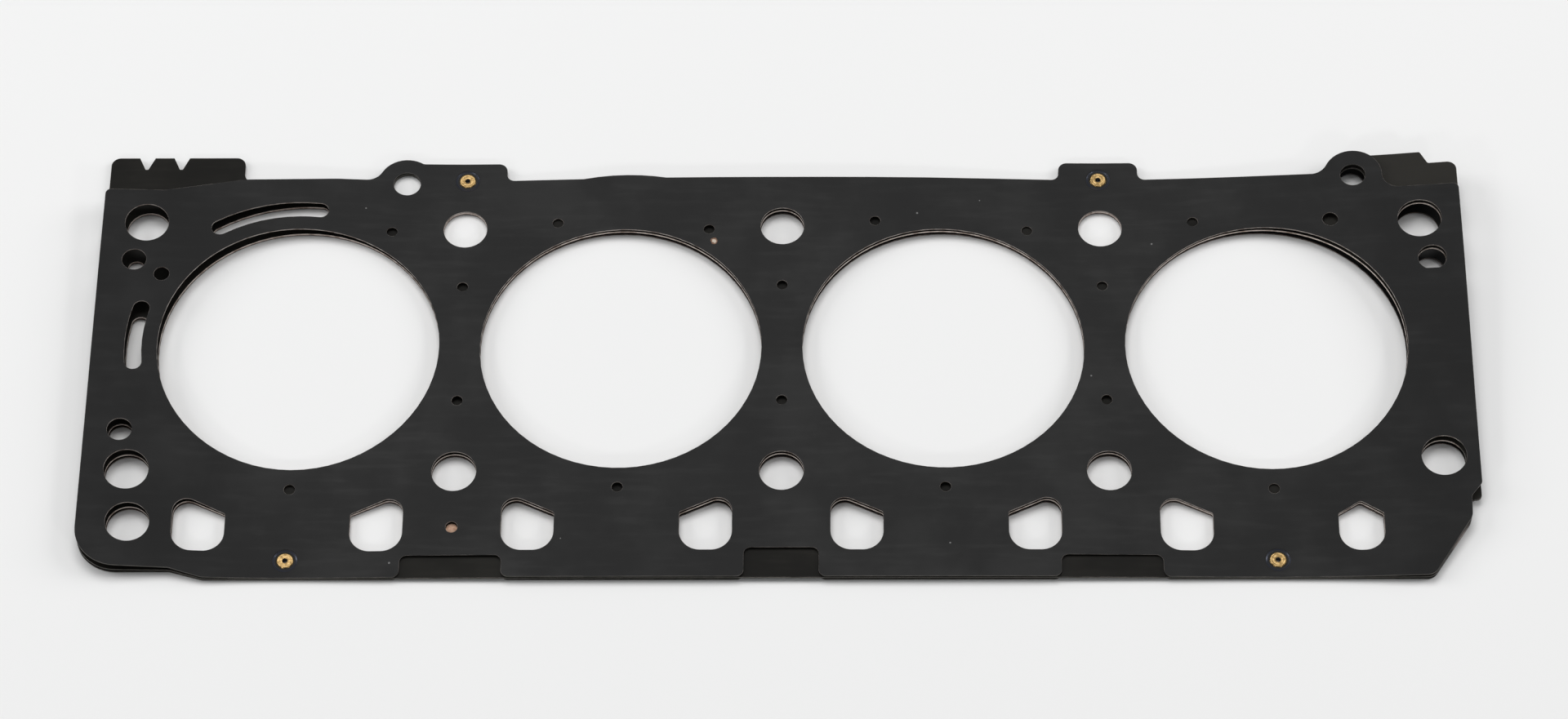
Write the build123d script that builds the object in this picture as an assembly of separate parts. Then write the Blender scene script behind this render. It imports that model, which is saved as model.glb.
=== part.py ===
"""Four-cylinder head gasket: three stamped steel sheets held together by four hollow brass rivets.
A copper button is set in the middle sheet.

Millimetres. X runs along the row of bores, Y across it, Z up. The origin is the middle of the bores'
centre line, on the surface that the gasket lies on. Rear is +Y and left is -X. The gasket is loose,
as it comes out of its packet: the sheets touch at the rivets and stand apart everywhere else.
"""

from build123d import *
import os
from math import exp, hypot, sqrt

# Bores and bolt holes
bore_count = 4
bore_pitch = 109.5
bore_diameter = 95.6
bolt_row_offset = 48.8  # centre line of the bores to each row of bolt holes
bolt_hole_diameter = 15.0
odd_bolt_shift = (2.3, 4.7)  # the front right bolt stands off the pattern by this much

# Edges, each measured from the outer bolt holes
left_margin = 15.2
right_margin = 14.1
rear_margin = 20.4
front_margin = 39.6

# Sheets
outer_sheet_thickness = 0.4
middle_sheet_thickness = 0.7
film_gap = 0.03  # rubber film left between two sheets where a rivet pulls them together

# How far the free sheets stand apart
middle_spread = 2.5  # added gaps between the rivets
left_end_lift = 3.8  # extra at the left rear corner
left_lift_growth = 1.7  # exponent of its growth towards the end
left_front_share = 0.75  # what is left of that extra at the front
right_end_lift = 6.0  # extra at the right rear corner
right_lift_growth = 2.6
right_front_share = 0.4
front_spread_share = 0.45  # what is left of the middle spread along the front edge
left_front_below = 0.25  # shares of the gaps that lie under the middle sheet; none at the left rear
middle_below = 0.55
right_rear_below = 0.85
right_front_below = 0.3
pinch_reach = 48.0  # distance from a rivet over which they part
survey_step = 10.0  # spacing of the heights that a bowed face is drawn through

# Rivets
rivet_hole_diameter = 1.8
rivet_shank_diameter = 3.4
rivet_head_diameter = 5.7
rivet_head_height = 0.35
rivet_head_bevel = 0.2
rivet_foot_diameter = 5.0
rivet_foot_height = 0.3
rivet_clearance = 0.05
rivet_seat_diameter = 8.6
rivet_seat_depth = 0.1
rear_rivet_offset = 20.4  # behind the rear bolt row
front_rivet_offset = 33.1  # in front of the front bolt row

# Copper button, seen through a hole of the upper sheet
button_diameter = 3.9
button_height = 0.05  # above the middle sheet
button_shift = 21.0  # in front of the bolt hole between the first two bores
button_window_diameter = 4.1

# Tabs and lobes on the rear edge
tab_half_width = 13.7
tab_height = 7.0
tab_corner_radius = 3.0
tab_root_radius = 2.6
lobe_radius = 10.0
lobe_root_radius = 6.0
lobe_shoulder_radius = 2.0  # where a lobe meets the end of a tab
left_lobe_shift = (-21.0, 19.0)  # from the bolt hole beside it
left_lobe_hole_diameter = 9.4
right_lobe_shift = (-21.6, 19.3)
right_lobe_hole_diameter = 8.7
swell_width = 28.7  # shallow swelling of the rear edge behind the second bore
swell_height = 1.3

# Ends of the outer sheets, which stop short of the middle sheet's tabs
end_step = 6.9
end_corner_radius = 2.0
step_root_radius = 5.5  # between the right step and the lobe
ramp_start = 4.9  # right of the outer bolt hole, where the rear edge climbs out of the left step
ramp_knee = (33.0, 1.6)  # the climb eases here: right of the bolt hole, in front of the rear edge
ramp_end = 64.0
ramp_radius = 25.0

# Marking tab of the middle sheet, at its left end
marking_tab_width = 46.9
marking_tab_height = 10.2
marking_tab_radius = 3.2
marking_root_radius = 3.5
vee_width = 5.4
vee_depth = 4.8
vee_floor = 1.0
vee_floor_radius = 0.4
vee_first = 12.5  # left end to the first vee
vee_pitch = 12.0
vee_count = 2

# Locating tab of the middle sheet, at its right end
locating_tab_height = 8.0
locating_tab_end = 12.1  # in from the right end
locating_tab_slope = 2.5
locating_shoulder = 3.2  # behind the rear edge
locating_corner_radius = 3.2
locating_step_radius = 0.8

# Front corners
left_corner_radius = 14.0
left_shelf = 3.1  # the front left corner stands back from the front edge
left_shelf_end = 31.6
left_slope_end = 42.6
right_corner_cut = (17.8, 21.2)
right_flank_inset = 3.7
right_flank_height = 28.8  # top of the flank above the front edge
right_flank_slope = 4.6
right_flank_lean = 0.2
flank_radius = 1.8
corner_cut_radius = 4.0
soft_radius = 5.0

# Windows in the front edge of the outer sheets
side_window_width = 33.7
side_window_depth = 8.1
middle_window_width = 24.9
middle_window_depth = 10.8
window_radius = 2.4

# Coolant ports along the front
port_offset = 29.6  # from the bore centre, to either side
port_width = 17.6
port_floor = 29.7  # in front of the front bolt row
port_peak = 7.6
port_shoulder = 15.7
port_floor_radius = 7.0
port_peak_radius = 4.8
port_shoulder_radius = 1.0
end_port_shift = 28.3
end_port_width = 15.1
end_port_peak = 11.3
end_port_shoulder = 16.0
end_port_peak_radius = 1.6

# Curved oil slots round the first bore
slot_wall = 5.25  # metal between the bore and the slots
slot_width = 5.8
rear_slot_angles = (85.5, 122.0)
left_slot_angles = (165.5, 187.5)
left_slot_start_below = 169.0  # the sheets underneath begin the left slot later

# Single holes, from the outer bolt hole beside them
end_hole_shift = (3.3, 15.2)
left_end_hole_diameter = 8.4
metering_hole_diameter = 5.6  # the same hole in the sheets underneath, at the rear left
right_end_hole_shift = (3.3, 16.1)
right_end_hole_diameter = 9.7
right_end_hole_flat = 4.3  # from the hole's centre to its flat front
return_hole_shift = (1.8, 19.9)
return_hole_diameter = 14.6

# Bleed holes, which only the upper sheet has
bleed_diameter = 3.8
bleed_right_place = (29.5, 47.6)  # from the bore on its left
bleed_left_place = (-22.8, 51.0)  # from the bore on its right
bleed_web_rear = 24.7
bleed_web_front = 21.3
bleed_front = 55.1
wide_bleed_diameter = 5.4
wide_bleed_rear_place = (24.4, 50.2)  # from the last bore
wide_bleed_left_place = (-48.3, 28.0)  # from the first bore

# Worked out from the sizes above
bore_places = [((i - (bore_count - 1) / 2) * bore_pitch, 0) for i in range(bore_count)]
bolt_columns = [(i - bore_count / 2) * bore_pitch for i in range(bore_count + 1)]
first_bore = bore_places[0][0]
last_bore = bore_places[-1][0]
left_bolt = bolt_columns[0]
right_bolt = bolt_columns[-1]
left_end = left_bolt - left_margin
right_end = right_bolt + right_margin
rear_edge = bolt_row_offset + rear_margin
front_edge = -bolt_row_offset - front_margin
step_edge = rear_edge - end_step

left_tab_x = bolt_columns[1]
right_tab_x = bolt_columns[-2]
button_place = (left_tab_x, -bolt_row_offset - button_shift)
left_lobe = (left_tab_x + left_lobe_shift[0], bolt_row_offset + left_lobe_shift[1])
right_lobe = (right_bolt + right_lobe_shift[0], bolt_row_offset + right_lobe_shift[1])
rivet_places = {
    "rear_left_rivet": (left_tab_x, bolt_row_offset + rear_rivet_offset),
    "rear_right_rivet": (right_tab_x, bolt_row_offset + rear_rivet_offset),
    "front_left_rivet": (first_bore, -bolt_row_offset - front_rivet_offset),
    "front_right_rivet": (last_bore, -bolt_row_offset - front_rivet_offset),
}

lower_sheet_top = rivet_foot_height + outer_sheet_thickness
middle_underside = lower_sheet_top + film_gap
upper_underside = middle_underside + middle_sheet_thickness + film_gap
riveted_top = upper_underside + outer_sheet_thickness


def between(value, low, high):
    """0 at low, 1 at high and an even blend between them."""
    share = min(max((value - low) / (high - low), 0), 1)
    return share * share * (3 - 2 * share)


def pinch(x, y):
    """0 where a rivet holds the sheets together, 1 well away from every rivet."""
    free = 1
    for rivet_x, rivet_y in rivet_places.values():
        away = hypot(x - rivet_x, y - rivet_y) / pinch_reach
        free *= 1 - exp(-(away**2))
    return free


def rearward(y):
    """0 at the front bolt row, 1 at the rear one."""
    return between(y, -bolt_row_offset, bolt_row_offset)


def spread(x, y):
    """Gap between the lower and the upper sheet that the middle sheet and the films don't fill."""
    front = between(-y, bolt_row_offset, -front_edge) * between(x, left_bolt, first_bore)
    left = max((left_tab_x - x) / (left_tab_x - left_end), 0) ** left_lift_growth
    right = max((x - right_tab_x) / (right_end - right_tab_x), 0) ** right_lift_growth
    middle = middle_spread * (1 - front * (1 - front_spread_share))
    left_lift = left_end_lift * (left_front_share + (1 - left_front_share) * rearward(y))
    right_lift = right_end_lift * (right_front_share + (1 - right_front_share) * rearward(y))
    return pinch(x, y) * (middle + left_lift * left + right_lift * right)


def below_share(x, y):
    """Share of the spread that lies under the middle sheet: least at the left, most at the right rear."""
    left = left_front_below * (1 - rearward(y))
    right = right_front_below + (right_rear_below - right_front_below) * rearward(y)
    inward = between(x, first_bore, bore_places[1][0])
    outward = between(x, last_bore, right_end) ** 2
    share = left + (middle_below - left) * inward
    return share + (right - middle_below) * outward


def middle_sheet_height(x, y):
    return middle_underside + spread(x, y) * below_share(x, y)


def upper_sheet_height(x, y):
    return upper_underside + spread(x, y)


def outline_face(corners):
    """A closed outline of straight runs: each corner is (x, y, fillet radius)."""
    points = [(x, y) for x, y, radius in corners]
    return make_face(FilletPolyline(*points, radius=[corner[2] for corner in corners], close=True))


def fillet_near(sketch, place, radius):
    """Rounds the corner of the sketch that is nearest to a place."""
    corner = sketch.vertices().sort_by_distance((place[0], place[1], 0))[0]
    return fillet(corner, radius)


def front_corners():
    """Left end, front edge and the foot of the right end, which every sheet shares."""
    shelf = front_edge + left_shelf
    flank = right_end - right_flank_inset
    return [
        (left_end, shelf, left_corner_radius),
        (left_end + left_shelf_end, shelf, soft_radius),
        (left_end + left_slope_end, front_edge, soft_radius),
        (right_end - right_corner_cut[0], front_edge, corner_cut_radius),
        (flank - right_flank_lean, front_edge + right_corner_cut[1], soft_radius),
        (flank, front_edge + right_flank_height, flank_radius),
    ]


def rear_fittings():
    """The two tabs, the two lobes and the swelling, which stand behind the rear edge."""
    top = rear_edge + tab_height
    left_tab = outline_face(
        [
            (left_lobe[0], 0, 0),
            (left_tab_x + tab_half_width, 0, 0),
            (left_tab_x + tab_half_width, top, tab_corner_radius),
            (left_lobe[0], top, 0),
        ]
    )
    right_tab = outline_face(
        [
            (right_tab_x - tab_half_width, 0, 0),
            (right_tab_x + tab_half_width, 0, 0),
            (right_tab_x + tab_half_width, top, tab_corner_radius),
            (right_tab_x - tab_half_width, top, tab_corner_radius),
        ]
    )
    swell_x = bore_places[1][0]
    swell = make_face(
        [
            ThreePointArc(
                (swell_x - swell_width / 2, rear_edge),
                (swell_x, rear_edge + swell_height),
                (swell_x + swell_width / 2, rear_edge),
            ),
            Polyline(
                (swell_x + swell_width / 2, rear_edge),
                (swell_x, rear_edge - swell_height),
                (swell_x - swell_width / 2, rear_edge),
            ),
        ]
    )
    lobes = Pos(*left_lobe) * Circle(lobe_radius) + Pos(*right_lobe) * Circle(lobe_radius)
    return left_tab + right_tab + swell + lobes


def round_rear_roots(outline):
    """Fillets where the tabs and lobes meet the rear edge."""
    top = rear_edge + tab_height
    lobe_foot = sqrt(lobe_radius**2 - (left_lobe[1] - rear_edge) ** 2)
    right_lobe_foot = sqrt(lobe_radius**2 - (right_lobe[1] - rear_edge) ** 2)
    lobe_shoulder = sqrt(lobe_radius**2 - (top - left_lobe[1]) ** 2)
    for place, radius in (
        ((left_tab_x + tab_half_width, rear_edge), tab_root_radius),
        ((right_tab_x - tab_half_width, rear_edge), tab_root_radius),
        ((right_tab_x + tab_half_width, rear_edge), tab_root_radius),
        ((left_lobe[0] - lobe_foot, rear_edge), lobe_root_radius),
        ((right_lobe[0] - right_lobe_foot, rear_edge), lobe_root_radius),
        ((left_lobe[0] + lobe_shoulder, top), lobe_shoulder_radius),
    ):
        outline = fillet_near(outline, place, radius)
    return outline


def outer_outline():
    """Plan of the upper and the lower sheet."""
    plate = outline_face(
        front_corners()
        + [
            (right_end, front_edge + right_flank_height + right_flank_slope, flank_radius),
            (right_end, step_edge, end_corner_radius),
            (right_lobe[0], step_edge, 0),
            (right_lobe[0], rear_edge, 0),
            (left_bolt + ramp_end, rear_edge, ramp_radius),
            (left_bolt + ramp_knee[0], rear_edge - ramp_knee[1], ramp_radius),
            (left_bolt + ramp_start, step_edge, soft_radius),
            (left_end, step_edge, end_corner_radius),
        ]
    )
    outline = round_rear_roots(plate + rear_fittings())
    lobe_side = sqrt(lobe_radius**2 - (right_lobe[1] - step_edge) ** 2)
    outline = fillet_near(outline, (right_lobe[0] + lobe_side, step_edge), step_root_radius)
    middle_x = (left_tab_x + right_tab_x) / 2
    for x, width, depth in (
        (left_tab_x, side_window_width, side_window_depth),
        (middle_x, middle_window_width, middle_window_depth),
        (right_tab_x, side_window_width, side_window_depth),
    ):
        outline -= window(x, width, depth)
        for side in (-1, 1):
            outline = fillet_near(outline, (x + side * width / 2, front_edge), window_radius)
    return outline


def window(x, width, depth):
    """A rounded bite out of the front edge, which leaves the middle sheet bare."""
    low = front_edge - depth
    high = front_edge + depth
    return outline_face(
        [
            (x - width / 2, low, 0),
            (x + width / 2, low, 0),
            (x + width / 2, high, window_radius),
            (x - width / 2, high, window_radius),
        ]
    )


def middle_outline():
    """Plan of the middle sheet, with the marking tab and the locating tab."""
    marking_right = left_end + marking_tab_width
    marking_top = rear_edge + marking_tab_height
    locating_top = rear_edge + locating_tab_height
    locating_right = right_end - locating_tab_end
    shoulder = rear_edge + locating_shoulder
    plate = outline_face(
        front_corners()
        + [
            (right_end, front_edge + right_flank_height, flank_radius),
            (right_end, shoulder, locating_corner_radius),
            (locating_right + locating_tab_slope, shoulder, locating_step_radius),
            (locating_right, locating_top, locating_step_radius),
            (right_lobe[0], locating_top, 0),
            (right_lobe[0], rear_edge, 0),
            (marking_right, rear_edge, marking_root_radius),
            (marking_right, marking_top, marking_tab_radius),
            (left_end, marking_top, marking_tab_radius),
        ]
    )
    outline = round_rear_roots(plate + rear_fittings())
    lobe_side = sqrt(lobe_radius**2 - (locating_top - right_lobe[1]) ** 2)
    outline = fillet_near(outline, (right_lobe[0] + lobe_side, locating_top), lobe_shoulder_radius)
    for i in range(vee_count):
        outline -= vee(left_end + vee_first + i * vee_pitch, marking_top)
    return outline


def vee(x, top):
    """One notch of the thickness mark."""
    overshoot = 1
    flare = (vee_width - vee_floor) / (2 * vee_depth)
    mouth = vee_width / 2 + flare * overshoot
    return outline_face(
        [
            (x - mouth, top + overshoot, 0),
            (x - vee_floor / 2, top - vee_depth, vee_floor_radius),
            (x + vee_floor / 2, top - vee_depth, vee_floor_radius),
            (x + mouth, top + overshoot, 0),
        ]
    )


def coolant_port(x, side):
    """A port with a round floor and a roof that slopes away from its peak, on its left if side is 1."""
    row = -bolt_row_offset
    half = side * port_width / 2
    return Pos(x, 0) * outline_face(
        [
            (-half, row - port_floor, port_floor_radius),
            (half, row - port_floor, port_floor_radius),
            (half, row - port_shoulder, port_shoulder_radius),
            (-half, row - port_peak, port_peak_radius),
        ]
    )


def end_port(x):
    """The last port, narrower, with a roof that slopes both ways."""
    row = -bolt_row_offset
    half = end_port_width / 2
    return Pos(x, 0) * outline_face(
        [
            (-half, row - port_floor, port_floor_radius),
            (half, row - port_floor, port_floor_radius),
            (half, row - end_port_shoulder, port_shoulder_radius),
            (0, row - end_port_peak, end_port_peak_radius),
            (-half, row - end_port_shoulder, port_shoulder_radius),
        ]
    )


def curved_slot(start, end):
    """A slot that follows the first bore, between two angles in degrees."""
    radius = bore_diameter / 2 + slot_wall + slot_width / 2
    return SlotArc(CenterArc((first_bore, 0), radius, start, end - start), slot_width)


def openings(is_upper):
    """Everything that is punched through a sheet, rivet holes included."""
    bolt_places = [(x, bolt_row_offset) for x in bolt_columns]
    bolt_places += [(x, -bolt_row_offset) for x in bolt_columns[:-1]]
    bolt_places.append((right_bolt + odd_bolt_shift[0], -bolt_row_offset + odd_bolt_shift[1]))
    return_place = (left_bolt + return_hole_shift[0], -bolt_row_offset - return_hole_shift[1])
    cuts = [Pos(*place) * Circle(bore_diameter / 2) for place in bore_places]
    cuts += [Pos(*place) * Circle(bolt_hole_diameter / 2) for place in bolt_places]
    cuts.append(Pos(*return_place) * Circle(return_hole_diameter / 2))
    for x, y in bore_places:
        cuts.append(coolant_port(x - port_offset, 1))
        if x != last_bore:
            cuts.append(coolant_port(x + port_offset, -1))
    cuts.append(end_port(last_bore + end_port_shift))

    left_hole_x = left_bolt - end_hole_shift[0]
    left_hole_y = bolt_row_offset - end_hole_shift[1]
    right_hole = (right_bolt + right_end_hole_shift[0], bolt_row_offset - right_end_hole_shift[1])
    rear_left_diameter = left_end_hole_diameter if is_upper else metering_hole_diameter
    cuts.append(Pos(left_hole_x, left_hole_y) * Circle(rear_left_diameter / 2))
    cuts.append(Pos(left_hole_x, -left_hole_y) * Circle(left_end_hole_diameter / 2))
    beyond_flat_y = -right_end_hole_flat - right_end_hole_diameter / 2
    beyond_flat = Pos(0, beyond_flat_y) * Rectangle(right_end_hole_diameter, right_end_hole_diameter)
    cuts.append(Pos(*right_hole) * (Circle(right_end_hole_diameter / 2) - beyond_flat))
    cuts.append(Pos(*left_lobe) * Circle(left_lobe_hole_diameter / 2))
    cuts.append(Pos(*right_lobe) * Circle(right_lobe_hole_diameter / 2))
    cuts.append(curved_slot(*rear_slot_angles))
    cuts.append(curved_slot(left_slot_angles[0] if is_upper else left_slot_start_below, left_slot_angles[1]))
    for place in rivet_places.values():
        cuts.append(Pos(*place) * Circle(rivet_shank_diameter / 2 + rivet_clearance))
    return cuts


def bleed_holes():
    """Small holes of the upper sheet, closed underneath by the middle sheet, and the button's window."""
    places = [(x + bleed_right_place[0], bleed_right_place[1]) for x, y in bore_places[:-1]]
    places += [(x + bleed_left_place[0], bleed_left_place[1]) for x, y in bore_places[1:]]
    places += [(x, bleed_web_rear) for x in bolt_columns[1:-1]]
    places += [(x, -bleed_web_front) for x in bolt_columns[1:-1]]
    places += [(x, -bleed_front) for x, y in bore_places]
    cuts = [Pos(*place) * Circle(bleed_diameter / 2) for place in places]
    wide = Circle(wide_bleed_diameter / 2)
    cuts.append(Pos(last_bore + wide_bleed_rear_place[0], wide_bleed_rear_place[1]) * wide)
    cuts.append(Pos(first_bore + wide_bleed_left_place[0], wide_bleed_left_place[1]) * wide)
    cuts.append(Pos(*button_place) * Circle(button_window_diameter / 2))
    return cuts


def bowed_slab(height, thickness):
    """A slab larger than the gasket whose underside follows height(x, y)."""
    spare = 12
    left = left_end - spare
    length = right_end + spare - left
    front = front_edge - spare
    width = rear_edge + marking_tab_height + spare - front
    columns = round(length / survey_step)
    rows = round(width / survey_step)
    grid = []
    for i in range(columns + 1):
        x = left + length * i / columns
        ys = [front + width * j / rows for j in range(rows + 1)]
        grid.append([(x, y, height(x, y)) for y in ys])
    underside = Face.make_surface_from_array_of_points(grid, tol=0.004, min_deg=3, max_deg=3)
    return extrude(underside, amount=thickness, dir=(0, 0, 1))


def bowed_sheet(plan, height, thickness):
    """A stamped sheet that follows height(x, y)."""
    above_the_bow = 40
    return extrude(plan, amount=above_the_bow) & bowed_slab(height, thickness)


def make_upper_sheet():
    plan = outer_outline() - openings(True) - bleed_holes()
    sheet = bowed_sheet(plan, upper_sheet_height, outer_sheet_thickness)
    above_the_bow = 5
    seat = Cylinder(rivet_seat_diameter / 2, above_the_bow, align=(Align.CENTER, Align.CENTER, Align.MIN))
    for place in rivet_places.values():
        sheet -= Pos(*place, riveted_top - rivet_seat_depth) * seat
    return sheet


def make_middle_sheet():
    plan = middle_outline() - openings(False) - Pos(*button_place) * Circle(button_diameter / 2)
    return bowed_sheet(plan, middle_sheet_height, middle_sheet_thickness)


def make_button():
    """Copper plug that fills its hole in the middle sheet and stands just above it."""
    plan = Pos(*button_place) * Circle(button_diameter / 2)
    return bowed_sheet(plan, middle_sheet_height, middle_sheet_thickness + button_height)


def make_lower_sheet():
    plan = outer_outline() - openings(False)
    return Pos(0, 0, rivet_foot_height) * extrude(plan, amount=outer_sheet_thickness)


def make_rivet():
    """Hollow rivet: a foot under the lower sheet, a shank and a bevelled head in the upper sheet's seat."""
    inner = rivet_hole_diameter / 2
    shank = rivet_shank_diameter / 2
    foot = rivet_foot_diameter / 2
    head = rivet_head_diameter / 2
    seat = riveted_top - rivet_seat_depth
    top = seat + rivet_head_height
    profile = Polyline(
        (inner, 0),
        (foot, 0),
        (foot, rivet_foot_height),
        (shank, rivet_foot_height),
        (shank, seat),
        (head, seat),
        (head, top - rivet_head_bevel),
        (head - rivet_head_bevel, top),
        (inner, top),
        close=True,
    )
    return revolve(make_face(Plane.XZ * profile), Axis.Z)


os.makedirs("parts", exist_ok=True)
export_step(make_upper_sheet(), "parts/upper_sheet.step")
export_step(make_middle_sheet(), "parts/middle_sheet.step")
export_step(make_lower_sheet(), "parts/lower_sheet.step")
export_step(make_button(), "parts/button.step")
for name, place in rivet_places.items():
    export_step(Pos(*place) * make_rivet(), f"parts/{name}.step")
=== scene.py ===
"""Looks of the cylinder head gasket: coated steel sheets with bare cut edges, brass rivets, a copper button.

Metres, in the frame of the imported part: X along the bores, Y across them, Z up, floor at Z = 0.
"""

from math import radians

import bpy
from mathutils import Matrix, Vector


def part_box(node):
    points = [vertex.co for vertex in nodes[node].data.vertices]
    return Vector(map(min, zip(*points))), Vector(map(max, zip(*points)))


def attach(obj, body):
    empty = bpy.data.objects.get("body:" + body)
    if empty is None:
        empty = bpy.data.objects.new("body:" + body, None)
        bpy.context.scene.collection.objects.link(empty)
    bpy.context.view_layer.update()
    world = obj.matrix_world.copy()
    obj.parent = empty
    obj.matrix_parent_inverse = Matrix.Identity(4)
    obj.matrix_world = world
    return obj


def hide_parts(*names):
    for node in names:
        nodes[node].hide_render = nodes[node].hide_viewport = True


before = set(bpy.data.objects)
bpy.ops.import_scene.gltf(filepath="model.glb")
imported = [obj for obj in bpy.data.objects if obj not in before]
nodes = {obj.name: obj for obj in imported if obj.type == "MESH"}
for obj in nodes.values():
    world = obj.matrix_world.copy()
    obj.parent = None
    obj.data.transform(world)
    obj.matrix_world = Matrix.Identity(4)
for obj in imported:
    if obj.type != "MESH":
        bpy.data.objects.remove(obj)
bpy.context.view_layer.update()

MM = 0.001
RIVETS = ("rear_left_rivet", "rear_right_rivet", "front_left_rivet", "front_right_rivet")
CHIP_PLACE = (-0.0235, 0.0427)  # X and Y of the chip in the upper sheet's film
LIP_REACH = 0.18 * MM  # how far the painted rim highlight reaches from a rim
LIP_FREE_RADIUS = 6 * MM  # no painted rim highlight this near to a rivet's axis
SPECK_SPACING = 85.0  # dust cells in a metre
MIDDLE_OF_WIDTH = 8.5 * MM  # how far in front of the bores' line the outline's middle lies

# Camera, for a picture of 1920 by 881
FOCAL_PIXELS = 5727.0
PICTURE_WIDTH = 1920
SENSOR_WIDTH = 36.0
CAMERA_PLACE = (0.01491, -0.83701, 1.35296)
CAMERA_DOWN = 58.336
CAMERA_TURN = 0.977
CAMERA_ROLL = -0.921

# Colours, linear
FILM_BLACK = (0.0080, 0.0080, 0.0080, 1)
FILM_WORN = (0.0135, 0.0135, 0.0132, 1)
# Painted shade towards the sheets' ends
FILM_ENDS_PAINTED_SHADE = (0.0022, 0.0022, 0.0022, 1)
CARRIER_DARK = (0.0070, 0.0066, 0.0056, 1)
CARRIER_BROWN = (0.0120, 0.0110, 0.0088, 1)
# Lighter tone towards the carrier's right end
CARRIER_RIGHT_END_LIGHTER = (0.0215, 0.0200, 0.0170, 1)
# Cut steel of each sheet, browned and clean
CUT_BRIGHT = ((0.30, 0.23, 0.19, 1), (0.68, 0.60, 0.55, 1))
CUT_GREY = ((0.16, 0.12, 0.10, 1), (0.42, 0.38, 0.35, 1))
# Painted shade: the lower sheet's cut walls, darker than the others
CUT_PAINTED_SHADE = ((0.035, 0.025, 0.020, 1), (0.170, 0.125, 0.105, 1))
CUT_DARKER_OUTLINE = (0.060, 0.058, 0.050, 1)
# Painted highlight along the rims of the cut walls
LIP_PAINTED_HIGHLIGHT = (0.56, 0.50, 0.46, 1)
POLISHED_FILM = (0.060, 0.065, 0.085, 1)
DUST = (0.16, 0.16, 0.16, 1)
CHIP_PALE = (0.54, 0.46, 0.38, 1)
CHIP_BROWN = (0.20, 0.11, 0.07, 1)
BRASS = (0.18, 0.117, 0.046, 1)
BRASS_PALE = (0.25, 0.17, 0.075, 1)
# Painted shade inside the rivets' holes
HOLE_SHADE_DARK = (0.035, 0.036, 0.045, 1)
HOLE_SHADE_GREY = (0.08, 0.075, 0.07, 1)
COPPER = (0.27, 0.155, 0.098, 1)
COPPER_PALE = (0.38, 0.25, 0.18, 1)
FLOOR_WHITE = (0.90, 0.90, 0.895, 1)
STUDIO_AIR = (0.97, 0.98, 1.0, 1)


def clear_selection():
    if bpy.context.object and bpy.context.object.mode != "OBJECT":
        bpy.ops.object.mode_set(mode="OBJECT")
    bpy.ops.object.select_all(action="DESELECT")


# Nodes that the groups and the materials are built from


def new_group(name, inputs, outputs):
    """An empty shader group with (name, socket type, default) inputs and (name, socket type) outputs."""
    tree = bpy.data.node_groups.new(name, "ShaderNodeTree")
    for label, kind, default in inputs:
        socket = tree.interface.new_socket(label, in_out="INPUT", socket_type=kind)
        if default is not None:
            socket.default_value = default
    for label, kind in outputs:
        tree.interface.new_socket(label, in_out="OUTPUT", socket_type=kind)
    return tree, tree.nodes.new("NodeGroupInput"), tree.nodes.new("NodeGroupOutput")


def add_node(tree, kind, label=None, **settings):
    node = tree.nodes.new(kind)
    if label:
        node.label = label
    for key, value in settings.items():
        setattr(node, key, value)
    return node


def feed(tree, socket, value):
    """Gives a socket a plain value, or links it to another node's output."""
    if isinstance(value, (int, float, tuple)):
        socket.default_value = value
    else:
        tree.links.new(value, socket)


def noise(tree, vector, scale, detail, roughness, label):
    node = add_node(tree, "ShaderNodeTexNoise", label)
    node.inputs["Scale"].default_value = scale
    node.inputs["Detail"].default_value = detail
    node.inputs["Roughness"].default_value = roughness
    tree.links.new(vector, node.inputs["Vector"])
    return node.outputs["Fac"]


def remap(tree, value, low, high, to_low=0.0, to_high=1.0, label=None):
    node = add_node(tree, "ShaderNodeMapRange", label, interpolation_type="SMOOTHSTEP")
    node.inputs["From Min"].default_value = low
    node.inputs["From Max"].default_value = high
    node.inputs["To Min"].default_value = to_low
    node.inputs["To Max"].default_value = to_high
    tree.links.new(value, node.inputs["Value"])
    return node.outputs["Result"]


def math_node(tree, operation, first, second=None, label=None):
    node = add_node(tree, "ShaderNodeMath", label, operation=operation)
    feed(tree, node.inputs[0], first)
    if second is not None:
        feed(tree, node.inputs[1], second)
    return node.outputs["Value"]


def distance_to(tree, vector, place, label=None):
    node = add_node(tree, "ShaderNodeVectorMath", label, operation="DISTANCE")
    tree.links.new(vector, node.inputs[0])
    node.inputs[1].default_value = place
    return node.outputs["Value"]


def split_vector(tree, vector, label=None):
    node = add_node(tree, "ShaderNodeSeparateXYZ", label)
    tree.links.new(vector, node.inputs["Vector"])
    return node.outputs


def mix_colour(tree, factor, first, second, label):
    node = add_node(tree, "ShaderNodeMix", label, data_type="RGBA")
    tree.links.new(factor, node.inputs["Factor"])
    feed(tree, node.inputs[6], first)
    feed(tree, node.inputs[7], second)
    return node.outputs[2]


def mix_value(tree, factor, first, second, label):
    node = add_node(tree, "ShaderNodeMix", label, data_type="FLOAT")
    tree.links.new(factor, node.inputs[0])
    feed(tree, node.inputs[2], first)
    feed(tree, node.inputs[3], second)
    return node.outputs[0]


def bump_normal(tree, height, strength, distance, below=None):
    """The normal that a bump gives, on top of the one below where there is one."""
    bump = add_node(tree, "ShaderNodeBump")
    bump.inputs["Strength"].default_value = strength
    bump.inputs["Distance"].default_value = distance
    tree.links.new(height, bump.inputs["Height"])
    if below is not None:
        tree.links.new(below, bump.inputs["Normal"])
    return bump.outputs["Normal"]


# Shader groups that several materials share


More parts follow.
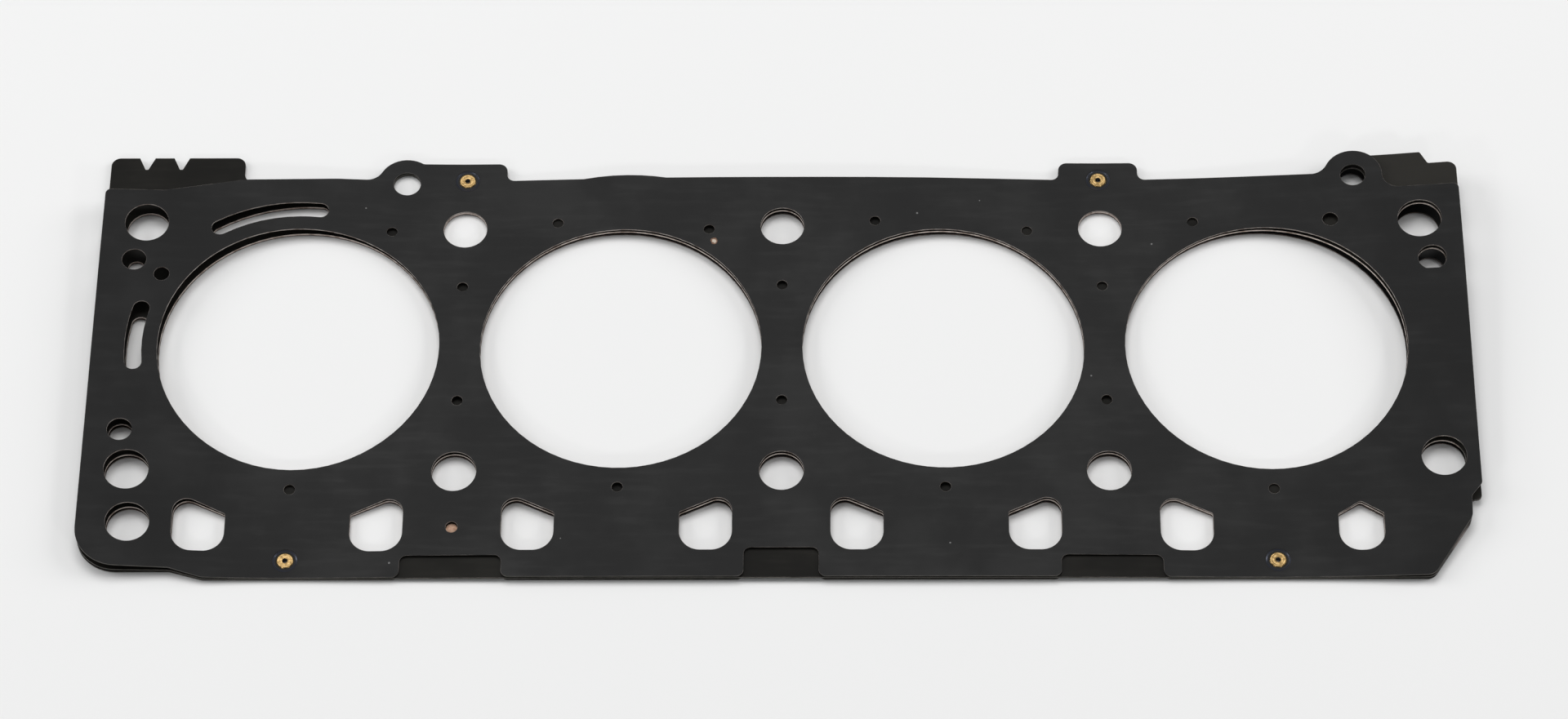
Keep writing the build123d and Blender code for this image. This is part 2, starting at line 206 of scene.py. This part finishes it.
def cut_edge_group():
    """Bare steel of a punched sheet: Mask is the upright walls, and the second output is a painted highlight
    along their rims.
    """
    tree, given, made = new_group(
        "cut_edge",
        [
            ("Normal", "NodeSocketVector", None),
            ("Vector", "NodeSocketVector", None),
            ("Reach", "NodeSocketFloat", LIP_REACH),
        ],
        [("Mask", "NodeSocketFloat"), ("Highlight", "NodeSocketFloat")],
    )
    wall_tilt, face_tilt = 0.35, 0.75
    full_rim, no_rim = 0.80, 0.97
    upright = math_node(tree, "ABSOLUTE", split_vector(tree, given.outputs["Normal"])["Z"])
    tree.links.new(remap(tree, upright, wall_tilt, face_tilt, 1.0, 0.0), made.inputs["Mask"])
    rounded = add_node(tree, "ShaderNodeBevel", "rim", samples=6)
    tree.links.new(given.outputs["Reach"], rounded.inputs["Radius"])
    surface = add_node(tree, "ShaderNodeNewGeometry")
    agree = add_node(tree, "ShaderNodeVectorMath", operation="DOT_PRODUCT")
    tree.links.new(rounded.outputs["Normal"], agree.inputs[0])
    tree.links.new(surface.outputs["Normal"], agree.inputs[1])
    rim = remap(tree, agree.outputs["Value"], full_rim, no_rim, 1.0, 0.0, "rim width")
    # The painted rim highlight, broken into patches
    patches = noise(tree, given.outputs["Vector"], scale=240, detail=3, roughness=0.6, label="broken highlight")
    broken = remap(tree, patches, 0.30, 0.62)
    tree.links.new(math_node(tree, "MULTIPLY", rim, broken), made.inputs["Highlight"])
    return tree


def film_group():
    """Clouds and faint scuffs of a thin rubber film as one mottle, and a grain for the bump."""
    tree, given, made = new_group(
        "rubber_film",
        [("Vector", "NodeSocketVector", None)],
        [("Mottle", "NodeSocketFloat"), ("Grain", "NodeSocketFloat")],
    )
    cloud_share, scuff_share = 0.65, 0.35
    long_in_x = (60, 420, 60)
    vector = given.outputs["Vector"]
    puffs = noise(tree, vector, scale=28, detail=4, roughness=0.6, label="clouds")
    clouds = remap(tree, puffs, 0.35, 0.68)
    scuffs = add_node(tree, "ShaderNodeMapping", "scuff direction")
    scuffs.inputs["Scale"].default_value = long_in_x
    tree.links.new(vector, scuffs.inputs["Vector"])
    lines = noise(tree, scuffs.outputs["Vector"], scale=1.0, detail=3, roughness=0.5, label="scuffs")
    streaks = remap(tree, lines, 0.45, 0.75)
    both = math_node(
        tree,
        "ADD",
        math_node(tree, "MULTIPLY", clouds, cloud_share),
        math_node(tree, "MULTIPLY", streaks, scuff_share),
    )
    tree.links.new(both, made.inputs["Mottle"])
    grain = noise(tree, vector, scale=2600, detail=2, roughness=0.5, label="grain")
    tree.links.new(grain, made.inputs["Grain"])
    return tree


def dust_group():
    """Tiny light specks, sparse."""
    tree, given, made = new_group(
        "dust_specks",
        [
            ("Vector", "NodeSocketVector", None),
            ("Spacing", "NodeSocketFloat", SPECK_SPACING),
            ("Size", "NodeSocketFloat", 0.03),
        ],
        [("Mask", "NodeSocketFloat")],
    )
    empty_share = 0.72
    cells = add_node(tree, "ShaderNodeTexVoronoi", "specks")
    tree.links.new(given.outputs["Vector"], cells.inputs["Vector"])
    tree.links.new(given.outputs["Spacing"], cells.inputs["Scale"])
    near = math_node(tree, "LESS_THAN", cells.outputs["Distance"], given.outputs["Size"])
    pick = add_node(tree, "ShaderNodeSeparateColor")
    tree.links.new(cells.outputs["Color"], pick.inputs["Color"])
    some = math_node(tree, "GREATER_THAN", pick.outputs["Red"], empty_share)
    tree.links.new(math_node(tree, "MULTIPLY", near, some), made.inputs["Mask"])
    return tree


def near_rivets_group(places):
    """Distance in metres to the nearest of the rivets' axes, at the height of the upper sheet."""
    tree, given, made = new_group(
        "near_rivets", [("Vector", "NodeSocketVector", None)], [("Distance", "NodeSocketFloat")]
    )
    nearest = None
    for place in places:
        away = distance_to(tree, given.outputs["Vector"], place)
        nearest = away if nearest is None else math_node(tree, "MINIMUM", nearest, away)
    tree.links.new(nearest, made.inputs["Distance"])
    return tree


def rivet_top(name):
    """The place on a rivet's axis where the upper sheet lies, just under the top of the head."""
    head_rise = 0.25 * MM
    low, high = [Vector(corner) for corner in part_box(name)]
    return Vector(((low.x + high.x) / 2, (low.y + high.y) / 2, high.z - head_rise))


def on_upper_sheet(x, y):
    """The point of the upper sheet's top face at x, y."""
    well_above = 0.1
    return nodes["upper_sheet"].ray_cast((x, y, well_above), (0, 0, -1))[1]


CUT_EDGE = cut_edge_group()
NEAR_RIVETS = near_rivets_group([rivet_top(name) for name in RIVETS])
FILM = film_group()
SPECKS = dust_group()


# Materials


def use_group(tree, group, **values):
    node = add_node(tree, "ShaderNodeGroup", group.name, node_tree=group)
    for key, value in values.items():
        feed(tree, node.inputs[key], value)
    return node


def new_material(name):
    """A material with its node tree, the Principled shader and the texture coordinates."""
    material = bpy.data.materials.new(name)
    material.use_nodes = True
    tree = material.node_tree
    shader = tree.nodes["Principled BSDF"]
    place = add_node(tree, "ShaderNodeTexCoord")
    return material, tree, shader, place


def towards_ends(tree, vector, right_only, most):
    """Grows from zero past the outer bores to its most at the ends, or at the right end alone."""
    begins, full = 140 * MM, 225 * MM
    along = split_vector(tree, vector, "ends")["X"]
    if not right_only:
        along = math_node(tree, "ABSOLUTE", along)
    return remap(tree, along, begins, full, 0.0, most, "towards the ends")


def outline_mask(tree, vector):
    """One near the sheets' outer edges, where the cut steel is made darker, and zero at the bores and holes."""
    place = split_vector(tree, vector, "outline")
    from_middle = math_node(tree, "ADD", place["Y"], MIDDLE_OF_WIDTH, "from the middle of the width")
    sides = remap(tree, math_node(tree, "ABSOLUTE", from_middle), 68 * MM, 70.5 * MM)
    ends = remap(tree, math_node(tree, "ABSOLUTE", place["X"]), 226 * MM, 228 * MM)
    return math_node(tree, "MAXIMUM", sides, ends)


def press_rivet_seats(tree, away, colour, rough):
    """A shallow ring round each rivet, where the tool dished the sheet and polished its film."""
    dish_depth = 0.34 * MM
    polish_share = 0.8
    polished_roughness = 0.20
    slope = remap(tree, away, 3.25 * MM, 4.55 * MM, 0.0, 1.0, "dish")
    under = bump_normal(tree, slope, 1.0, dish_depth)
    inner = remap(tree, away, 3.4 * MM, 3.7 * MM)
    outer = remap(tree, away, 3.95 * MM, 4.25 * MM, 1.0, 0.0)
    ring = math_node(tree, "MULTIPLY", inner, outer, "polished ring")
    share = math_node(tree, "MULTIPLY", ring, polish_share)
    colour = mix_colour(tree, share, colour, POLISHED_FILM, "polished film")
    rough = mix_value(tree, ring, rough, polished_roughness, "polished")
    return colour, rough, ring, under


def chip_film(tree, vector, colour):
    """One chip in the film, with a ragged brown border."""
    raggedness = 1.2 * MM
    away = distance_to(tree, vector, on_upper_sheet(*CHIP_PLACE), "chip")
    ragged = noise(tree, vector, scale=1500, detail=3, roughness=0.6, label="ragged edge")
    reach = math_node(tree, "ADD", away, math_node(tree, "MULTIPLY", ragged, raggedness))
    border = remap(tree, reach, 1.65 * MM, 2.00 * MM, 1.0, 0.0, "chip border")
    heart = remap(tree, reach, 1.25 * MM, 1.50 * MM, 1.0, 0.0, "chip heart")
    colour = mix_colour(tree, border, colour, CHIP_BROWN, "chip border colour")
    return mix_colour(tree, heart, colour, CHIP_PALE, "chip colour")


def coated_sheet(
    name,
    film_colours,
    end_colour,
    end_share,
    cut,
    rim_highlight,
    roughness,
    gloss,
    speck_size,
    right_only=False,
    pressed=False,
):
    """Steel sheet under a matt rubber film, bare where it was punched.

    The film shifts by end_share to end_colour towards the ends. cut is the browned and the clean colour of the
    bare walls, and the argument after cut sets how strong the painted highlight along their rims is. A pressed
    sheet has the rivets' seats and the chip.
    """
    worn_gloss = 0.08
    ring_glint = 1.6
    bare_metal = 0.45
    cut_roughness = 0.42
    grain_strength, grain_depth = 0.25, 0.04 * MM
    material, tree, shader, place = new_material(name)
    vector = place.outputs["Object"]
    film = use_group(tree, FILM, Vector=vector)
    mottle = film.outputs["Mottle"]
    specks = use_group(tree, SPECKS, Vector=vector, Spacing=SPECK_SPACING, Size=speck_size)
    edge = use_group(tree, CUT_EDGE, Normal=place.outputs["Normal"], Vector=vector, Reach=LIP_REACH)
    wall, rim = edge.outputs["Mask"], edge.outputs["Highlight"]

    colour = mix_colour(tree, mottle, *film_colours, "film")
    # Towards the ends: painted shade on the upper and lower films, and a lighter tone at the carrier's right
    # end
    at_ends = towards_ends(tree, vector, right_only, end_share)
    colour = mix_colour(tree, at_ends, colour, end_colour, "film at the ends")
    colour = mix_colour(tree, specks.outputs["Mask"], colour, DUST, "specks")
    rough = remap(tree, mottle, 0.0, 1.0, roughness, roughness - worn_gloss)
    bare, under = wall, None
    if pressed:
        away = use_group(tree, NEAR_RIVETS, Vector=vector).outputs["Distance"]
        colour, rough, ring, under = press_rivet_seats(tree, away, colour, rough)
        colour = chip_film(tree, vector, colour)
        bare = math_node(tree, "MAXIMUM", wall, math_node(tree, "MULTIPLY", ring, ring_glint))
        rim = math_node(tree, "MULTIPLY", rim, math_node(tree, "GREATER_THAN", away, LIP_FREE_RADIUS))
    # Painted highlight along the rims of the cut walls
    painted_rim_highlight = math_node(tree, "MULTIPLY", rim, rim_highlight)
    colour = mix_colour(tree, painted_rim_highlight, colour, LIP_PAINTED_HIGHLIGHT, "painted rim highlight")

    browning = noise(tree, vector, scale=350, detail=3, roughness=0.6, label="cut tint")
    steel = mix_colour(tree, remap(tree, browning, 0.30, 0.60), *cut, "cut steel")
    steel = mix_colour(tree, outline_mask(tree, vector), steel, CUT_DARKER_OUTLINE, "darker outline")
    colour = mix_colour(tree, wall, colour, steel, "cut edge")
    rough = mix_value(tree, wall, rough, cut_roughness, "roughness")
    normal = bump_normal(tree, film.outputs["Grain"], grain_strength, grain_depth, under)

    tree.links.new(colour, shader.inputs["Base Color"])
    tree.links.new(math_node(tree, "MULTIPLY", bare, bare_metal), shader.inputs["Metallic"])
    tree.links.new(rough, shader.inputs["Roughness"])
    tree.links.new(normal, shader.inputs["Normal"])
    shader.inputs["Specular IOR Level"].default_value = gloss
    return material


def brass_finish(name, polished, tarnished):
    """Turned brass between two roughnesses, patchily tarnished."""
    pit_strength, pit_depth = 0.2, 0.03 * MM
    material, tree, shader, place = new_material(name)
    vector = place.outputs["Object"]
    patches = noise(tree, vector, scale=900, detail=4, roughness=0.6, label="tarnish")
    tarnish = remap(tree, patches, 0.35, 0.7)
    pits = noise(tree, vector, scale=2400, detail=3, roughness=0.6, label="pitting")
    tree.links.new(mix_colour(tree, tarnish, BRASS_PALE, BRASS, "brass"), shader.inputs["Base Color"])
    tree.links.new(remap(tree, tarnish, 0, 1, polished, tarnished), shader.inputs["Roughness"])
    tree.links.new(bump_normal(tree, pits, pit_strength, pit_depth), shader.inputs["Normal"])
    shader.inputs["Metallic"].default_value = 1.0
    return material


def rivet_hole_finish():
    """The wall of a rivet's hole, with a painted shade in patchy dark tones."""
    material, tree, shader, place = new_material("rivet_hole")
    patches = noise(tree, place.outputs["Object"], scale=900, detail=3, roughness=0.6, label="shade_patches")
    shade_patches = remap(tree, patches, 0.35, 0.7)
    colour = mix_colour(tree, shade_patches, HOLE_SHADE_DARK, HOLE_SHADE_GREY, "painted hole shade")
    tree.links.new(colour, shader.inputs["Base Color"])
    shader.inputs["Metallic"].default_value = 0.4
    shader.inputs["Roughness"].default_value = 0.45
    return material


def copper_finish():
    """Dull bare copper in paler and darker patches."""
    patch_strength, patch_depth = 0.2, 0.03 * MM
    material, tree, shader, place = new_material("button_copper")
    spots = noise(tree, place.outputs["Object"], scale=1100, detail=3, roughness=0.6, label="patches")
    patches = remap(tree, spots, 0.35, 0.65)
    tree.links.new(mix_colour(tree, patches, COPPER, COPPER_PALE, "copper"), shader.inputs["Base Color"])
    tree.links.new(bump_normal(tree, patches, patch_strength, patch_depth), shader.inputs["Normal"])
    shader.inputs["Metallic"].default_value = 0.55
    shader.inputs["Roughness"].default_value = 0.5
    return material


def floor_finish():
    material = bpy.data.materials.new("floor")
    material.use_nodes = True
    shader = material.node_tree.nodes["Principled BSDF"]
    shader.inputs["Base Color"].default_value = FLOOR_WHITE
    shader.inputs["Roughness"].default_value = 0.75
    shader.inputs["Specular IOR Level"].default_value = 0.2
    return material


UPPER_FILM = coated_sheet(
    "upper_film",
    film_colours=(FILM_BLACK, FILM_WORN),
    end_colour=FILM_ENDS_PAINTED_SHADE,
    end_share=0.8,
    cut=CUT_GREY,
    rim_highlight=0.5,
    roughness=0.62,
    gloss=0.21,
    speck_size=0.03,
    pressed=True,
)
LOWER_FILM = coated_sheet(
    "lower_film",
    film_colours=(FILM_BLACK, FILM_WORN),
    end_colour=FILM_ENDS_PAINTED_SHADE,
    end_share=0.8,
    cut=CUT_PAINTED_SHADE,
    rim_highlight=0.9,
    roughness=0.62,
    gloss=0.21,
    speck_size=0.02,
)
CARRIER_FILM = coated_sheet(
    "carrier_film",
    film_colours=(CARRIER_DARK, CARRIER_BROWN),
    end_colour=CARRIER_RIGHT_END_LIGHTER,
    end_share=1.0,
    cut=CUT_BRIGHT,
    rim_highlight=0.9,
    roughness=0.66,
    gloss=0.12,
    speck_size=0.02,
    right_only=True,
)
BRASS_METAL = brass_finish("rivet_brass", polished=0.30, tarnished=0.46)
RIVET_RIM = brass_finish("rivet_rim", polished=0.24, tarnished=0.36)
RIVET_HOLE = rivet_hole_finish()
COPPER_METAL = copper_finish()

SHEET_FINISHES = (("upper_sheet", UPPER_FILM), ("middle_sheet", CARRIER_FILM), ("lower_sheet", LOWER_FILM))
for node_name, finish in SHEET_FINISHES:
    mesh = nodes[node_name].data
    mesh.materials.clear()
    mesh.materials.append(finish)


# Rivets and button

FACETS_ROUND = 48
SAME_POINT = 0.002 * MM
RIVET_HOLE_RADIUS = 0.86 * MM
RIVET_SHANK_RADIUS = 1.70 * MM
RIVET_FOOT_RADIUS = 2.50 * MM
RIVET_HEAD_RADIUS = 2.85 * MM
RIVET_FOOT_HEIGHT = 0.30 * MM
RIVET_HEAD_THICKNESS = 0.35 * MM


def settle(piece, finish, angle):
    """Closes, shades and colours a modelled piece."""
    bpy.ops.object.mode_set(mode="EDIT")
    bpy.ops.mesh.select_all(action="SELECT")
    bpy.ops.mesh.remove_doubles(threshold=SAME_POINT)
    bpy.ops.mesh.normals_make_consistent(inside=False)
    bpy.ops.object.mode_set(mode="OBJECT")
    bpy.ops.object.shade_smooth_by_angle(angle=radians(angle))
    piece.data.materials.clear()
    piece.data.materials.append(finish)


def turned_ring(name, profile):
    """A ring about the Z axis: profile is a closed run of (radius, height) in metres."""
    clear_selection()
    radius, height = profile[0]
    bpy.ops.mesh.primitive_circle_add(
        vertices=FACETS_ROUND, radius=radius, fill_type="NOTHING", location=(0, 0, 0)
    )
    piece = bpy.context.object
    piece.name = name
    bpy.ops.object.mode_set(mode="EDIT")
    bpy.ops.mesh.select_all(action="SELECT")
    bpy.ops.transform.translate(value=(0, 0, height))
    for next_radius, next_height in profile[1:] + profile[:1]:
        bpy.ops.mesh.extrude_edges_move(TRANSFORM_OT_translate={"value": (0, 0, next_height - height)})
        grow = next_radius / radius
        bpy.ops.transform.resize(value=(grow, grow, 1), center_override=(0, 0, next_height))
        radius, height = next_radius, next_height
    bpy.ops.object.mode_set(mode="OBJECT")
    return piece


def rivet_profile(foot, top):
    """Half section of a hollow rivet, from its foot round to its rolled head, as (radius, height)."""
    hole, shank, head = RIVET_HOLE_RADIUS, RIVET_SHANK_RADIUS, RIVET_HEAD_RADIUS
    seat = top - RIVET_HEAD_THICKNESS
    collar = foot + RIVET_FOOT_HEIGHT
    return [
        # Foot
        (hole, foot),
        (RIVET_FOOT_RADIUS - 0.15 * MM, foot),
        (RIVET_FOOT_RADIUS, foot + 0.1 * MM),
        (RIVET_FOOT_RADIUS, collar),
        # Shank
        (shank, collar),
        (shank, seat),
        # Rolled rim of the head
        (head - 0.06 * MM, seat),
        (head, seat + 0.06 * MM),
        (head - 0.01 * MM, top - 0.28 * MM),
        (head - 0.24 * MM, top - 0.03 * MM),
        (head - 0.38 * MM, top - 0.005 * MM),
        (head - 0.52 * MM, top),
        # Ring groove
        (2.10 * MM, top - 0.01 * MM),
        (1.98 * MM, top - 0.05 * MM),
        (1.84 * MM, top - 0.02 * MM),
        # Mouth of the hole
        (1.25 * MM, top - 0.03 * MM),
        (hole + 0.06 * MM, top - 0.08 * MM),
        (hole, top - 0.16 * MM),
    ]


def colour_rivet(piece):
    """Puts the dark finish, a painted shade, on the wall of the hole and the brighter one on the sloping rim of
    the head.
    """
    hole_ends = RIVET_HOLE_RADIUS + 0.01 * MM
    rim_starts = 2.6 * MM
    piece.data.materials.append(RIVET_HOLE)
    piece.data.materials.append(RIVET_RIM)
    for face in piece.data.polygons:
        if face.center.xy.length < hole_ends:
            face.material_index = 1
        elif 0.3 < face.normal.z < 0.9 and face.center.xy.length > rim_starts:
            face.material_index = 2


foot_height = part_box(RIVETS[0])[0][2]
head_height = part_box(RIVETS[0])[1][2]
turned_rivet = turned_ring("rivet_turned", rivet_profile(foot_height, head_height))
settle(turned_rivet, BRASS_METAL, angle=35)
colour_rivet(turned_rivet)
for rivet_name in RIVETS:
    rivet = turned_rivet.copy()
    rivet.data = turned_rivet.data.copy()
    rivet.name = rivet_name + "_turned"
    bpy.context.scene.collection.objects.link(rivet)
    axis = rivet_top(rivet_name)
    rivet.data.transform(Matrix.Translation((axis.x, axis.y, 0)))
    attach(rivet, "root")
    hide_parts(rivet_name)
bpy.data.objects.remove(turned_rivet)


def dished_button(name, low, high):
    """A flat plug with a raised rim round its top."""
    bevel_width, rim_rise = 0.10 * MM, 0.03 * MM
    rim_width = 0.25 * MM
    slope_width, dish_depth = 0.12 * MM, 0.06 * MM
    clear_selection()
    middle = (Vector(low) + Vector(high)) / 2
    radius, depth = (high[0] - low[0]) / 2, high[2] - low[2]
    bpy.ops.mesh.primitive_cylinder_add(
        vertices=FACETS_ROUND, radius=radius, depth=depth, location=(0, 0, 0)
    )
    piece = bpy.context.object
    piece.name = name
    bpy.ops.object.mode_set(mode="EDIT")
    bpy.ops.mesh.select_all(action="DESELECT")
    bpy.ops.object.mode_set(mode="OBJECT")
    for face in piece.data.polygons:
        face.select = face.normal.z > 0.9
    bpy.ops.object.mode_set(mode="EDIT")
    bpy.ops.mesh.select_mode(type="FACE")
    bpy.ops.mesh.inset(thickness=bevel_width)
    bpy.ops.transform.translate(value=(0, 0, rim_rise))
    bpy.ops.mesh.inset(thickness=rim_width)
    bpy.ops.mesh.inset(thickness=slope_width)
    bpy.ops.transform.translate(value=(0, 0, -dish_depth))
    bpy.ops.object.mode_set(mode="OBJECT")
    piece.data.transform(Matrix.Translation(middle - Vector((0, 0, rim_rise))))
    return piece


button_low, button_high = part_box("button")
button = dished_button("button_dished", button_low, button_high)
settle(button, COPPER_METAL, angle=40)
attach(button, "root")
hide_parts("button")


# Floor, lights and camera

FLOOR_SIZE = 8
STUDIO_STRENGTH = 0.20
# Name, place, width and height in metres, power in watts
LAMPS = (
    ("left_softbox", (-2.4, 0.53, 1.35), 1.35, 1.5, 23.5),
    ("right_softbox", (2.4, 0.68, 1.35), 1.35, 1.5, 25.5),
    ("overhead_softbox", (-0.22, 1.35, 2.85), 1.95, 1.65, 49.0),
    ("left_glint", (-1.0, -1.5, 0.8), 0.14, 0.14, 2.4),
    ("right_glint", (1.0, -1.5, 0.8), 0.14, 0.14, 2.4),
    ("left_ring_glint", (-0.88, 0.18, 1.78), 0.26, 0.26, 1.1),
    ("right_ring_glint", (0.88, 0.18, 1.78), 0.26, 0.26, 1.1),
)


def softbox(name, place, width, height, power):
    """A rectangular lamp that points at the origin."""
    lamp = bpy.data.lights.new(name, "AREA")
    lamp.shape = "RECTANGLE"
    lamp.size = width
    lamp.size_y = height
    lamp.energy = power
    box = bpy.data.objects.new(name, lamp)
    bpy.context.scene.collection.objects.link(box)
    box.location = place
    box.rotation_euler = (-Vector(place)).to_track_quat("-Z", "Y").to_euler()


clear_selection()
bpy.ops.mesh.primitive_plane_add(size=FLOOR_SIZE, location=(0, 0, 0))
floor = bpy.context.object
floor.name = "studio_floor"
floor.data.materials.append(floor_finish())

world = bpy.data.worlds.new("studio")
bpy.context.scene.world = world
world.use_nodes = True
background = world.node_tree.nodes["Background"]
background.inputs["Color"].default_value = STUDIO_AIR
background.inputs["Strength"].default_value = STUDIO_STRENGTH

for lamp_values in LAMPS:
    softbox(*lamp_values)

lens = bpy.data.cameras.new("camera")
lens.sensor_fit = "HORIZONTAL"
lens.sensor_width = SENSOR_WIDTH
lens.lens = FOCAL_PIXELS * SENSOR_WIDTH / PICTURE_WIDTH
lens.clip_start = 0.01
camera = bpy.data.objects.new("camera", lens)
bpy.context.scene.collection.objects.link(camera)
camera.matrix_world = (
    Matrix.Translation(CAMERA_PLACE)
    @ Matrix.Rotation(radians(CAMERA_TURN), 4, "Z")
    @ Matrix.Rotation(radians(90 - CAMERA_DOWN), 4, "X")
    @ Matrix.Rotation(radians(CAMERA_ROLL), 4, "Z")
)
bpy.context.scene.camera = camera
bpy.context.scene.view_settings.view_transform = "Standard"
